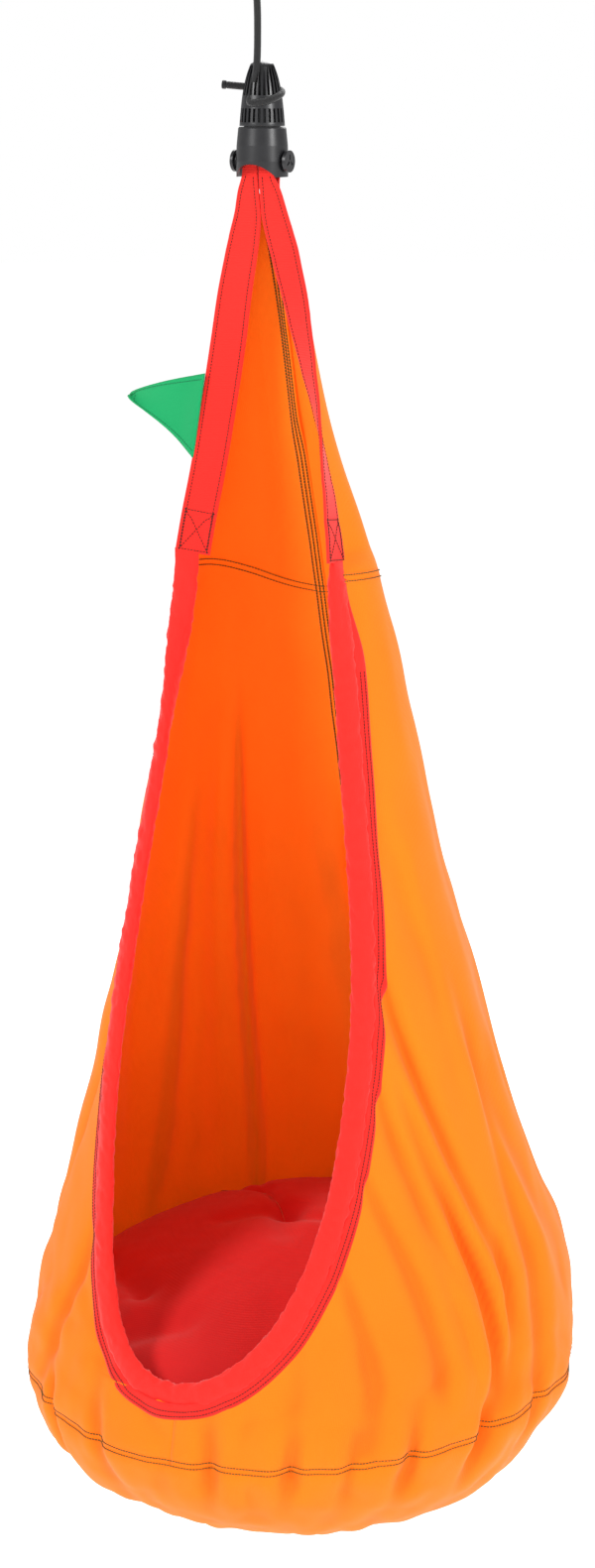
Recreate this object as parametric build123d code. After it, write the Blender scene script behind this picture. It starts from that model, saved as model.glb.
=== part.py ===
from build123d import *
import os
from math import cos, pi, radians, sin, tan

# Child's hanging nest: a teardrop fabric shell on two webbing straps, hung from a ribbed
# swivel, a rope and a ceiling plate. Millimetres, +Z up. The origin is the centre of the
# ceiling plate's top face, where the plate meets the ceiling. The mouth faces -Y.

# ceiling plate, eye and ring
PLATE_X, PLATE_Y, PLATE_T = 100.0, 60.0, 5.0
PLATE_CORNER = 8.0
HOLE_R = 4.25
HOLE_X, HOLE_Y = 76.0, 36.0
EYE_BAR_R, EYE_HALF, EYE_Z = 4.0, 14.0, -35.0
RING_R, RING_BAR_R, RING_Z = 18.0, 3.5, -45.2

# rope
ROPE_R = 4.0
ROPE_GAP = 0.3
SLEEVE_TOP, SLEEVE_BOTTOM = -90.0, -112.0
SLEEVE_X, SLEEVE_Y = 23.0, 13.0
ROPE_PAIR_X = 4.15

# swivel: everything below is centred on the swivel's own axis, behind the rope
AXIS_Y = 10.0
HEAD_TOP, HEAD_BOTTOM = -201.0, -269.0
BASE_BOTTOM = -271.0
HEAD_BASE_R = 24.9
RIB_COUNT = 26
SLOT_W, SLOT_DEPTH = 2.9, 3.2
PLUG_R, PLUG_TOP = 17.0, -262.0
AXLE_R, AXLE_FLANGE_R, AXLE_BOTTOM = 4.0, 8.2, -290.0
BEARING_T, FLANGE_T = 5.0, 4.0
RUN_GAP = 0.08
COLLAR_TOP, COLLAR_BOTTOM = -272.0, -326.0
COLLAR_ROOF = 6.0
PIN_R, PIN_Z, PIN_HALF = 4.0, -309.0, 31.0
SLEEVE_R, SLEEVE_HALF = 8.0, 20.0
CAP_BOSS_R, CAP_R, CAP_IN, CAP_STEP, CAP_OUT = 8.0, 12.0, 28.9, 31.0, 34.5

# webbing straps: width, thickness, and (x, y, z, width, turn about Z) down the left half
STRAP_T = 3.0
LOOP_W, LOOP_X = 18.0, 10.0
STRAP_STATIONS = [
    (LOOP_X, AXIS_Y, -344.0, LOOP_W, 0.0),
    (26.0, 12.0, -400.0, 38.0, 8.0),
    (50.0, 18.0, -520.0, 40.0, 26.0),
    (72.0, 19.0, -640.0, 40.0, 28.0),
    (90.0, 13.0, -746.0, 40.0, 28.0),
]

# fabric shell: horizontal ellipses (z, half width x, half depth y, centre y)
SHELL_T = 3.0
SHELL = [
    (-385.0, 44.0, 30.0, 8.0),
    (-450.0, 58.0, 46.0, 8.0),
    (-600.0, 88.0, 70.0, 22.0),
    (-750.0, 113.0, 90.0, 46.0),
    (-900.0, 143.0, 115.0, 64.0),
    (-1050.0, 177.0, 143.0, 75.0),
    (-1200.0, 213.0, 173.0, 84.0),
    (-1350.0, 249.0, 207.0, 95.0),
    (-1460.0, 279.0, 239.0, 106.0),
    (-1560.0, 308.0, 270.0, 114.0),
    (-1650.0, 325.0, 291.0, 106.0),
    (-1720.0, 323.0, 291.0, 84.0),
    (-1780.0, 295.0, 267.0, 65.0),
    (-1830.0, 241.0, 218.0, 59.0),
    (-1866.0, 160.0, 146.0, 58.0),
    (-1884.0, 60.0, 55.0, 58.0),
]
DISH_TOP = -1750.0
UPPER_SEAM_Z = -772.0
SEAM_Y, SEAM_Z, SEAM_TILT = 90.0, -1706.0, 7.7

# padded rim of the mouth: right half of its centre line, top to bottom
RIM_R, RIM_FOAM_R = 12.0, 9.7
RIM_WALL = 2.0
RIM_CLEAR = 12.3
RIM_RIGHT = [
    (96.0, 8.0, -752.0),
    (112.0, 1.0, -880.0),
    (130.0, -12.0, -1010.0),
    (148.0, -27.0, -1140.0),
    (159.0, -47.0, -1260.0),
    (160.0, -73.0, -1375.0),
    (150.0, -103.0, -1485.0),
    (131.0, -134.0, -1568.0),
    (104.0, -158.0, -1622.0),
    (70.0, -177.0, -1655.0),
    (28.0, -191.0, -1676.0),
]
MOUTH_TOP_Y = 16.0

# leaf sewn to the left strap
LEAF_BASE = (-89.0, 9.5, -592.0)
LEAF_OUT = (-0.97, 0.25, 0.0)
LEAF_T = 3.0
LEAF_HALF, LEAF_TIP, LEAF_RISE = 48.0, 103.0, 18.0
LEAF_TOP_IN, LEAF_LOW_OUT = 16.0, 1.5

# loose cushion
CUSHION_GAP, CUSHION_SKIN = 3.0, 2.0
CUSHION_LIFT = 30.0
CROWN_R, CROWN_Y, CROWN_TOP = 800.0, 250.0, -1566.0
CUSHION_FRONT_Y = -158.0


def half_circle_points(radius, centre_y, angles, heights):
    """Corners of a polyline whose sides touch a circle about the swivel's axis."""
    return [(radius * sin(radians(a)), centre_y - radius * cos(radians(a)), z)
            for a, z in zip(angles, heights)]


def rounded_path(points, share=0.45, radii=None):
    """Straight runs joined by tangent arcs; returns the path and the arcs' radii."""
    used = []
    for before, corner, after in zip(points, points[1:], points[2:]):
        first = Vector(*corner) - Vector(*before)
        second = Vector(*after) - Vector(*corner)
        turn = radians(first.get_angle(second))
        used.append(share * min(first.length, second.length) / tan(turn / 2))
    for index, radius in (radii or {}).items():
        used[index] = radius
    return FilletPolyline(*points, radius=used), used


def tube(path, radius):
    start = Plane(origin=path @ 0, z_dir=path % 0)
    return sweep(start * Circle(radius), path=path)


def save(shape, name):
    export_step(shape, "parts/" + name + ".step")


# ---------------------------------------------------------------- ceiling hardware
def ceiling_plate():
    plate = extrude(RectangleRounded(PLATE_X, PLATE_Y, PLATE_CORNER), -PLATE_T)
    for hole in GridLocations(HOLE_X, HOLE_Y, 2, 2):
        plate -= hole * Pos(0, 0, -PLATE_T / 2) * Cylinder(HOLE_R, PLATE_T * 2)
    return plate


def plate_eye():
    points = [(EYE_HALF, 0, -PLATE_T), (EYE_HALF, 0, EYE_Z), (-EYE_HALF, 0, EYE_Z), (-EYE_HALF, 0, -PLATE_T)]
    path = FilletPolyline(*points, radius=EYE_HALF - 4.0)
    return tube(path, EYE_BAR_R)


def hanging_ring():
    return Pos(0, 0, RING_Z) * Rot(0, 90, 0) * Torus(RING_R, RING_BAR_R)


# ---------------------------------------------------------------- rope
WRAP_R = 21.5
WRAP_STEP = 40.0
BEND_X = ROPE_R * 2 + 0.2
TAIL_END = (-47.7, 15.5, -227.0)
ROPE_POINTS = [
    (ROPE_PAIR_X, 0, -118),
    (ROPE_PAIR_X, 0, -86),
    (BEND_X, 0, -70),
    (BEND_X, 0, -55.2),
    (-BEND_X, 0, -55.2),
    (-BEND_X, 0, -70),
    (-ROPE_PAIR_X, 0, -86),
    (-ROPE_PAIR_X, 0, -118),
    (0, 0, -134),
    (0, 0, -194),
    (0, -4.3, -215),
    (-4, -4.3, -234),
    (-6, AXIS_Y - WRAP_R, -247),
] + half_circle_points(WRAP_R / cos(radians(WRAP_STEP / 2)), AXIS_Y,
                       [20, 60, 100, 140, 180], [-246, -242, -236.5, -232.5, -231.5]) + [TAIL_END]


def rope_path():
    return rounded_path(ROPE_POINTS, radii={0: 12.0, 1: 12.0, 2: 7.9, 3: 7.9, 4: 12.0, 5: 12.0, 6: 12.0, 7: 20.0})


def rope_tip(path):
    start = Plane(origin=path @ 1, z_dir=path % 1)
    blob = start * Pos(0, 0, 2.5) * Cylinder(ROPE_R + 0.7, 5.0)
    return fillet(blob.edges(), 1.2)


def rope_sleeve():
    height = SLEEVE_TOP - SLEEVE_BOTTOM
    body = Pos(0, 0, SLEEVE_BOTTOM) * extrude(SlotOverall(SLEEVE_X, SLEEVE_Y), height)
    for side in (-1, 1):
        body -= Pos(side * ROPE_PAIR_X, 0, SLEEVE_BOTTOM + height / 2) * Cylinder(ROPE_R, height * 2)
    return body


# ---------------------------------------------------------------- swivel
def swivel_axis():
    return Pos(0, AXIS_Y, 0)


def drum(radius, top, bottom):
    """Solid cylinder about the swivel's axis."""
    return swivel_axis() * Pos(0, 0, (top + bottom) / 2) * Cylinder(radius, top - bottom)


def head_body(inset):
    """Ogive of the ribbed head, made smaller all round by inset."""
    z = HEAD_TOP - inset
    side = Spline((12.5 - inset, z - 3.2), (19.1 - inset, z - 23), (22.4 - inset, z - 42),
                  (HEAD_BASE_R - inset, HEAD_BOTTOM))
    crown = ThreePointArc((0, z), (7.2 - inset / 2, z - 0.9), side @ 0)
    floor = Polyline(side @ 1, (0, HEAD_BOTTOM), (0, z))
    profile = Plane.XZ * make_face([crown, side, floor])
    return swivel_axis() * revolve(profile, Axis.Z)


def head_slots():
    """Ring of narrow slots, a short row near the base and a long row above the rope."""
    tools = []
    for top, bottom in ((-206.0, -238.0), (-252.0, -267.0)):
        for k in range(RIB_COUNT):
            turn = Rot(0, 0, 360.0 * (k + 0.5) / RIB_COUNT)
            blade = Pos(0, 20.0, (top + bottom) / 2) * Box(SLOT_W, 20.0, top - bottom)
            tools.append(swivel_axis() * turn * blade)
    return tools


def swivel_head(rope):
    body = head_body(0)
    slots = Compound(head_slots()) - head_body(SLOT_DEPTH)
    body -= slots
    body -= tube(rope, ROPE_R + ROPE_GAP)
    entry = Pos(0, -7.0, -210.0) * Box(2 * (ROPE_R + ROPE_GAP), 14.0, 28.0)
    body -= entry
    body -= drum(PLUG_R + 0.1, PLUG_TOP, HEAD_BOTTOM - 1)
    body -= drum(AXLE_FLANGE_R + 0.4, PLUG_TOP + BEARING_T + FLANGE_T + 4.0, PLUG_TOP - 1)
    return body.solids().sort_by(SortBy.VOLUME)[-1]


def swivel_base():
    body = drum(HEAD_BASE_R, HEAD_BOTTOM, BASE_BOTTOM) + drum(PLUG_R, PLUG_TOP, HEAD_BOTTOM - 1)
    return body - drum(AXLE_R + RUN_GAP, PLUG_TOP + 1, BASE_BOTTOM - 1)


def thrust_bearing():
    top = PLUG_TOP + BEARING_T
    return drum(AXLE_FLANGE_R, top - 0.1, PLUG_TOP) - drum(AXLE_R + RUN_GAP, top + 1, PLUG_TOP - 1)


def swivel_axle():
    seat = PLUG_TOP + BEARING_T
    return drum(AXLE_FLANGE_R, seat + FLANGE_T, seat) + drum(AXLE_R, seat + 1, AXLE_BOTTOM)


def slide_washer():
    return drum(20.0, BASE_BOTTOM - 0.2, COLLAR_TOP) - drum(AXLE_R, BASE_BOTTOM, COLLAR_TOP - 1)


def axle_nut():
    roof = COLLAR_TOP - COLLAR_ROOF
    nut = swivel_axis() * Pos(0, 0, roof - 6.5) * extrude(RegularPolygon(6.5, 6, major_radius=False), 6.5)
    return nut - drum(AXLE_R, roof + 1, roof - 8)


def swivel_collar():
    outer = Polyline((0, COLLAR_TOP), (25.2, COLLAR_TOP), (26.4, COLLAR_TOP - 1.5), (28.2, -292),
                     (28.8, PIN_Z), (28.4, COLLAR_BOTTOM), (0, COLLAR_BOTTOM), (0, COLLAR_TOP))
    inner = Polyline((0, COLLAR_TOP - COLLAR_ROOF), (22.5, COLLAR_TOP - COLLAR_ROOF),
                     (25.2, COLLAR_BOTTOM - 1), (0, COLLAR_BOTTOM - 1), (0, COLLAR_TOP - COLLAR_ROOF))
    body = revolve(Plane.XZ * make_face(outer), Axis.Z) - revolve(Plane.XZ * make_face(inner), Axis.Z)
    body = swivel_axis() * body
    arch = swivel_axis() * Pos(0, 0, -340.5) * Rot(90, 0, 0) * Cylinder(28.5, 80.0)
    body -= arch
    body -= drum(AXLE_R, COLLAR_TOP + 1, COLLAR_TOP - COLLAR_ROOF - 1)
    body -= swivel_axis() * Pos(0, 0, PIN_Z) * Rot(0, 90, 0) * Cylinder(PIN_R, 80.0)
    return body


def along_pin(radius, x_from, x_to):
    middle = (x_from + x_to) / 2
    return swivel_axis() * Pos(middle, 0, PIN_Z) * Rot(0, 90, 0) * Cylinder(radius, abs(x_to - x_from))


def strap_pin():
    return along_pin(PIN_R, -PIN_HALF, PIN_HALF)


def pin_sleeve():
    return along_pin(SLEEVE_R, -SLEEVE_HALF, SLEEVE_HALF) - along_pin(PIN_R, -40, 40)


def pin_cap(side):
    cap = along_pin(CAP_BOSS_R, side * CAP_IN, side * CAP_STEP)
    cap += along_pin(CAP_R, side * CAP_STEP, side * CAP_OUT)
    cap -= along_pin(PIN_R, side * (CAP_IN - 1), side * PIN_HALF)
    for k in range(3):
        lobe = Rot(120.0 * k, 0, 0) * Pos(0, 0, 4.5) * Box(2.0, 2.6, 6.0)
        cap -= swivel_axis() * Pos(side * CAP_OUT, 0, PIN_Z) * lobe
    return cap


# ---------------------------------------------------------------- straps and leaf
def strap(side):
    eye_in, eye_out, tail = 8.4, 8.4 + STRAP_T, 36.0
    outline = make_hull(Circle(eye_out).edges() + (Pos(0, -tail) * Circle(STRAP_T / 2)).edges())
    window = make_hull(Circle(eye_in).edges() + (Pos(0, -tail + 11) * Circle(0.4)).edges())
    loop = extrude(Plane.YZ * (outline - window), LOOP_W / 2, both=True)
    loop = Pos(LOOP_X, AXIS_Y, PIN_Z) * loop
    flats = [Pos(x, y, z) * Rot(0, 0, -turn) * Rectangle(width, STRAP_T)
             for x, y, z, width, turn in STRAP_STATIONS]
    band = loop + loft(flats, ruled=True)
    return band if side > 0 else mirror(band, Plane.YZ)


def leaf_flag():
    out = Vector(*LEAF_OUT).normalized()
    face = Plane(origin=LEAF_BASE, x_dir=out, z_dir=out.cross(Vector(0, 0, 1)))
    up = 1 if face.y_dir.Z > 0 else -1
    outline = Polyline((-LEAF_TOP_IN, LEAF_HALF * up), (LEAF_TIP, LEAF_RISE * up), (LEAF_LOW_OUT, -LEAF_HALF * up), close=True)
    shape = make_face(outline)
    corner = shape.vertices().sort_by_distance((LEAF_TIP, LEAF_RISE * up, 0))[0]
    shape = fillet(corner, 6.0)
    return extrude(face * shape, LEAF_T / 2, both=True)


# ---------------------------------------------------------------- fabric shell
def shell_body(inset, drop=0.0):
    """Solid inside of the shell's ellipses, made smaller all round by inset."""
    rings = []
    for z, rx, ry, yc in SHELL:
        raised = inset if z < DISH_TOP else 0.0
        rings.append(Pos(0, yc, z + raised - drop) * Ellipse(rx - inset, ry - inset))
    return loft(rings)


def rim_points():
    left = [(-x, y, z) for x, y, z in RIM_RIGHT]
    return left + RIM_RIGHT[::-1]


def mouth_cutter():
    """Everything in front of the mouth's edge, seen from the side, drawn through along X."""
    edge = [(MOUTH_TOP_Y, -300.0), (MOUTH_TOP_Y, -700.0)] + [(y, z) for _, y, z in RIM_RIGHT]
    low_y, low_z = edge[-1]
    outline = edge + [(low_y - 3, low_z - 2), (-500.0, low_z - 2), (-500.0, -300.0)]
    return extrude(Plane.YZ * make_face(Polyline(*outline, close=True)), 400.0, both=True)


def half_space(side, top, bottom):
    """Box on one side of the middle plane between two heights."""
    return Pos(side * 250.0, 100.0, (top + bottom) / 2) * Box(500.0, 900.0, top - bottom)


def below_seam():
    return Pos(0, SEAM_Y, SEAM_Z) * Rot(SEAM_TILT, 0, 0) * Pos(0, 0, -300.0) * Box(1200.0, 1200.0, 600.0)


def shell_panels(rim):
    wall = shell_body(0) - shell_body(SHELL_T)
    wall -= mouth_cutter()
    wall -= tube(rim, RIM_CLEAR)
    low = below_seam()
    side_wall = wall - low
    panels = {"bottom_panel": wall & low}
    for name, side in (("left", -1), ("right", 1)):
        panels["upper_panel_" + name] = side_wall & half_space(side, -300.0, UPPER_SEAM_Z)
        panels["wall_panel_" + name] = side_wall & half_space(side, UPPER_SEAM_Z, -1900.0)
    return {name: panel.solids().sort_by(SortBy.VOLUME)[-1] for name, panel in panels.items()}


# ---------------------------------------------------------------- cushion
def cushion_body(inset):
    body = shell_body(SHELL_T + inset) & shell_body(SHELL_T + inset, CUSHION_LIFT)
    ball = Pos(0, CROWN_Y, CROWN_TOP - CROWN_R) * Sphere(CROWN_R - inset)
    front = Pos(0, CUSHION_FRONT_Y + inset + 500.0, -1700.0) * Box(1200.0, 1000.0, 600.0)
    return body & ball & front


def main():
    os.makedirs("parts", exist_ok=True)
    save(ceiling_plate(), "ceiling_plate")
    save(plate_eye(), "plate_eye")
    save(hanging_ring(), "hanging_ring")

    rope, radii = rope_path()
    rope_solid = tube(rope, ROPE_R)
    section = pi * ROPE_R ** 2
    print("rope length", round(rope.length, 1), "radii", [round(r, 1) for r in radii])
    print("rope volume / (section x length)", round(rope_solid.volume / (section * rope.length), 5))
    save(rope_solid, "suspension_rope")
    save(rope_tip(rope), "rope_tip")
    save(rope_sleeve(), "rope_sleeve")

    save(swivel_head(rope), "swivel_head")
    save(swivel_base(), "swivel_base")
    save(thrust_bearing(), "thrust_bearing")
    save(swivel_axle(), "swivel_axle")
    save(slide_washer(), "slide_washer")
    save(axle_nut(), "axle_nut")
    save(swivel_collar(), "swivel_collar")
    save(strap_pin(), "strap_pin")
    save(pin_sleeve(), "pin_sleeve")
    save(pin_cap(-1), "pin_cap_left")
    save(pin_cap(1), "pin_cap_right")

    save(strap(-1), "strap_left")
    save(strap(1), "strap_right")
    save(leaf_flag(), "leaf_flag")

    rim, rim_radii = rounded_path(rim_points())
    print("rim length", round(rim.length, 1), "radii", [round(r, 1) for r in rim_radii])
    save(tube(rim, RIM_R) - tube(rim, RIM_R - RIM_WALL), "rim_cover")
    save(tube(rim, RIM_FOAM_R), "rim_foam")
    for name, panel in shell_panels(rim).items():
        save(panel, name)

    save(cushion_body(CUSHION_GAP) - cushion_body(CUSHION_GAP + CUSHION_SKIN), "cushion_cover")
    save(cushion_body(CUSHION_GAP + CUSHION_SKIN + ROPE_GAP), "cushion_filling")


main()
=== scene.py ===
import math

import bmesh
import bpy
import numpy as np
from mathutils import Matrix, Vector, noise
from mathutils.bvhtree import BVHTree


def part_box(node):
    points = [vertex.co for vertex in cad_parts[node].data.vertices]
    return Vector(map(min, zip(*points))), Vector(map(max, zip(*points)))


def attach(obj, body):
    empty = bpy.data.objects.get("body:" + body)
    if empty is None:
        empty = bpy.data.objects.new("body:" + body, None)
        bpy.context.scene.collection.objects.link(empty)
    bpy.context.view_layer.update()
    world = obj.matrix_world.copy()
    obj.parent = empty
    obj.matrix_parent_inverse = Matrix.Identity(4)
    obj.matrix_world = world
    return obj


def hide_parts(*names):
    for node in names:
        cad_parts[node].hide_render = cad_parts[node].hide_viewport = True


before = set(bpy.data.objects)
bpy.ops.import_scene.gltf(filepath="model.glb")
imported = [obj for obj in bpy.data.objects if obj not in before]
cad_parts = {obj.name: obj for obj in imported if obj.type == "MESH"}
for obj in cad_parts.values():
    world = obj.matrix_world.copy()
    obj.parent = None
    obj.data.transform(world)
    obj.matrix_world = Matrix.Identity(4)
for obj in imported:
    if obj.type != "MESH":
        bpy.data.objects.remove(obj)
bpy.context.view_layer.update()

# Hanging nest: looks only. Everything is in metres in the CAD frame: +Z up, origin at the
# ceiling plate's top face, mouth towards -Y. MM turns the part's millimetres into metres.
MM = 0.001
AXIS_Y = 10.0 * MM
PIN_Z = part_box("strap_pin")[0].z + 4.0 * MM


# ------------------------------------------------------------------ camera and cord first
def make_camera():
    azimuth, pitch = math.radians(28.0), math.radians(-11.38)
    distance, height, aside = 4.0, -0.2, 0.0434
    right = Vector((math.cos(azimuth), math.sin(azimuth), 0.0))
    back = Vector((math.sin(azimuth), -math.cos(azimuth), 0.0))
    data = bpy.data.cameras.new("camera")
    data.sensor_width = 36.0
    data.lens = 36.0 * 3628.0 / 1581.0
    camera = bpy.data.objects.new("camera", data)
    camera.location = back * distance + right * aside + Vector((0.0, 0.0, height))
    camera.rotation_euler = (math.pi / 2 + pitch, 0.0, azimuth)
    bpy.context.scene.collection.objects.link(camera)
    bpy.context.scene.camera = camera


ROPE_R = 4.0 * MM
ROPE_ROUTE = [
    (4.15, 0, -118), (4.15, 0, -86), (8.2, 0, -70), (8.2, 0, -55.2),
    (-8.2, 0, -55.2), (-8.2, 0, -70), (-4.15, 0, -86), (-4.15, 0, -118),
    (0, 0, -134), (0, 0, -194), (0, -4.3, -215), (-4, -4.3, -234), (-6, -11.5, -247),
    (7.83, -11.5, -246), (19.8, -1.44, -242), (22.5, 14.0, -236.5), (14.7, 27.5, -232.5),
    (0, 32.9, -231.5), (-47.7, 15.5, -227.0),
]


def nurbs_line(points):
    """Points read along the smooth line that the route controls."""
    data = bpy.data.curves.new("route", "CURVE")
    data.dimensions = "3D"
    data.resolution_u = 24
    spline = data.splines.new("NURBS")
    spline.points.add(len(points) - 1)
    for place, point in zip(spline.points, points):
        place.co = (point[0] * MM, point[1] * MM, point[2] * MM, 1.0)
    spline.order_u = 3
    spline.use_endpoint_u = True
    holder = bpy.data.objects.new("route", data)
    mesh = bpy.data.meshes.new_from_object(holder)
    line = np.array([v.co for v in mesh.vertices], float)
    bpy.data.meshes.remove(mesh)
    bpy.data.curves.remove(data)
    return line


# ------------------------------------------------------------------ small mesh helpers
def new_piece(name, verts, faces, smooth=True):
    mesh = bpy.data.meshes.new(name)
    mesh.from_pydata([tuple(v) for v in verts], [], faces)
    mesh.polygons.foreach_set("use_smooth", [smooth] * len(mesh.polygons))
    piece = bpy.data.objects.new(name, mesh)
    bpy.context.scene.collection.objects.link(piece)
    return piece


def grid_faces(rows, columns, closed=False):
    faces = []
    for i in range(rows - 1):
        here, below = i * columns, (i + 1) * columns
        for j in range(columns if closed else columns - 1):
            k = (j + 1) % columns
            faces.append((here + j, here + k, below + k, below + j))
    return faces


def mend(piece, join=1e-5):
    """Joins points that coincide and turns every face outwards."""
    data = bmesh.new()
    data.from_mesh(piece.data)
    bmesh.ops.remove_doubles(data, verts=data.verts, dist=join)
    bmesh.ops.dissolve_degenerate(data, edges=data.edges, dist=join)
    bmesh.ops.recalc_face_normals(data, faces=data.faces)
    data.to_mesh(piece.data)
    data.free()


def tube(name, rings, join=1e-5):
    """A closed tube through an array of rings, with a flat cap at each end."""
    count, around = rings.shape[:2]
    faces = grid_faces(count, around, closed=True)
    faces.append(tuple(reversed(range(around))))
    faces.append(tuple((count - 1) * around + j for j in range(around)))
    piece = new_piece(name, rings.reshape(-1, 3), faces)
    mend(piece, join)
    return piece


def sweep(name, line, side, out, shape, size=None):
    """A closed tube: shape is a list of (sideways, outwards) in metres, at every point of line."""
    shape = np.asarray(shape, float)
    size = np.ones((len(line), 2)) if size is None else size
    across = side[:, None, :] * (shape[None, :, 0:1] * size[:, 0][:, None, None])
    up = out[:, None, :] * (shape[None, :, 1:2] * size[:, 1][:, None, None])
    return tube(name, line[:, None, :] + across + up)


def thicken(piece, thickness):
    solid = piece.modifiers.new("thickness", "SOLIDIFY")
    solid.thickness = thickness
    solid.offset = 0.0
    solid.use_even_offset = False


def smoothed(values, times):
    """The same values, evened out along their first axis, with both ends kept."""
    for _ in range(times):
        values[1:-1] = 0.25 * values[:-2] + 0.5 * values[1:-1] + 0.25 * values[2:]
    return values


def resample(line, step):
    line = np.asarray(line, float)
    along = np.concatenate([[0], np.cumsum(np.linalg.norm(np.diff(line, axis=0), axis=1))])
    at = np.linspace(0, along[-1], max(2, int(round(along[-1] / step)) + 1))
    return np.stack([np.interp(at, along, line[:, k]) for k in range(3)], axis=1), at


def tangents(line):
    t = np.gradient(line, axis=0)
    return t / np.maximum(np.linalg.norm(t, axis=1), 1e-12)[:, None]


def unit(v):
    return v / np.maximum(np.linalg.norm(v, axis=-1, keepdims=True), 1e-12)


def carried_frames(line):
    """A normal and a binormal along a line that turn with it and don't spin about it."""
    t = tangents(line)
    seed = np.array([0.0, 1.0, 0.0]) if abs(t[0][1]) < 0.9 else np.array([1.0, 0.0, 0.0])
    n = [unit(seed - t[0] * np.dot(seed, t[0]))]
    for i in range(1, len(line)):
        n.append(unit(n[-1] - t[i] * np.dot(n[-1], t[i])))
    n = np.array(n)
    return n, np.cross(t, n)


def basis(t):
    """The four cubic weights of a curve between two places and their slopes."""
    return 2 * t ** 3 - 3 * t ** 2 + 1, t ** 3 - 2 * t ** 2 + t, -2 * t ** 3 + 3 * t ** 2, t ** 3 - t ** 2


def hermite(xs, ys, x):
    """Smooth curve through stations; ys may have several columns."""
    xs, ys, x = np.asarray(xs, float), np.asarray(ys, float), np.asarray(x, float)
    if xs[0] > xs[-1]:
        xs, ys = xs[::-1], ys[::-1]
    slope = np.gradient(ys, xs, axis=0)
    x = np.clip(x, xs[0], xs[-1])
    i = np.clip(np.searchsorted(xs, x) - 1, 0, len(xs) - 2)
    h = xs[i + 1] - xs[i]
    t = (x - xs[i]) / h
    if ys.ndim > 1:
        t, h = t[..., None], h[..., None]
    a, b, c, d = basis(t)
    return a * ys[i] + b * h * slope[i] + c * ys[i + 1] + d * h * slope[i + 1]


def step_up(low, high, x):
    """From 0 at low to 1 at high, easing at both."""
    t = np.clip((np.asarray(x, float) - low) / (high - low), 0, 1)
    return t * t * (3 - 2 * t)


def wobble(points, scale, seed=0.0):
    """Smooth noise from -1 to 1 at each point."""
    shift = Vector((seed * 3.1, seed * 1.7, seed * 2.3))
    return np.array([noise.noise(Vector(p) * scale + shift) for p in points])


# ------------------------------------------------------------------ the nest's shape
SHELL = np.array([
    (-345.0, 21.0, 6.0, 10.5),
    (-385.0, 33.0, 20.0, 9.0),
    (-450.0, 58.0, 46.0, 8.0),
    (-600.0, 88.0, 70.0, 22.0),
    (-750.0, 113.0, 90.0, 46.0),
    (-900.0, 143.0, 115.0, 64.0),
    (-1050.0, 177.0, 143.0, 75.0),
    (-1200.0, 213.0, 173.0, 84.0),
    (-1350.0, 249.0, 207.0, 95.0),
    (-1460.0, 279.0, 239.0, 106.0),
    (-1560.0, 308.0, 270.0, 114.0),
    (-1650.0, 325.0, 291.0, 106.0),
    (-1720.0, 323.0, 291.0, 84.0),
    (-1780.0, 295.0, 267.0, 65.0),
    (-1830.0, 241.0, 218.0, 59.0),
    (-1866.0, 160.0, 146.0, 58.0),
    (-1884.0, 60.0, 55.0, 58.0),
    (-1887.0, 0.3, 0.3, 58.0),
]) * MM
RIM_RIGHT = np.array([
    (93.0, 10.0, -722.0),
    (97.0, 7.5, -765.0),
    (112.0, 1.0, -880.0),
    (130.0, -12.0, -1010.0),
    (148.0, -27.0, -1140.0),
    (159.0, -47.0, -1260.0),
    (160.0, -73.0, -1375.0),
    (150.0, -103.0, -1485.0),
    (131.0, -134.0, -1568.0),
    (104.0, -158.0, -1622.0),
    (70.0, -177.0, -1655.0),
    (36.0, -190.0, -1673.0),
]) * MM
# the bottom seam lies in one tilted plane
SEAM_Y, SEAM_Z, SEAM_SLOPE = 90.0 * MM, -1706.0 * MM, math.tan(math.radians(7.7))
FRONT_SEAM_Z = float(SEAM_Z + SEAM_SLOPE * (-0.190 - SEAM_Y))
CLOTH_TOP_Z, RIM_TOP_Z, STRAP_END_Z = -0.345, -0.765, -0.748
COLUMNS = 361
# strap stations: centre x, y, z, width, then the turn of the left and of the right strap
STRAPS = np.array([
    (10.0, 0.4, -309.0, 18.0, 0.0, 0.0),
    (10.4, 0.8, -325.0, 19.4, 0.0, 0.0),
    (14.0, 4.0, -345.0, 27.0, 0.0, 0.0),
    (17.0, 7.5, -368.0, 33.0, 0.0, 2.0),
    (23.5, 10.5, -395.0, 37.0, 3.0, 6.0),
    (34.0, 13.5, -438.0, 39.0, 8.0, 14.0),
    (51.0, 18.5, -525.0, 40.0, 20.0, 36.0),
    (59.5, 20.0, -568.0, 40.0, 24.0, 48.0),
    (75.5, 18.5, -655.0, 40.0, 27.0, 74.0),
    (86.0, 14.0, -712.0, 40.0, 28.0, 85.0),
    (91.5, 11.0, -748.0, 40.0, 31.0, 90.0),
])


def profile(u):
    """z, rx, ry and centre y at a place u down the list of stations."""
    u = np.asarray(u, float)
    slope = np.gradient(SHELL, axis=0)
    i = np.clip(u.astype(int), 0, len(SHELL) - 2)
    t = np.clip(u - i, 0, 1)[..., None]
    a, b, c, d = basis(t)
    return np.moveaxis(a * SHELL[i] + b * slope[i] + c * SHELL[i + 1] + d * slope[i + 1], -1, 0)


DENSE_U = np.linspace(0, len(SHELL) - 1, 4000)
DENSE_Z = profile(DENSE_U)[0]


def place_of(z):
    """The place down the stations that lies at a height."""
    return np.interp(-np.asarray(z, float), -DENSE_Z, DENSE_U)


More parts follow.
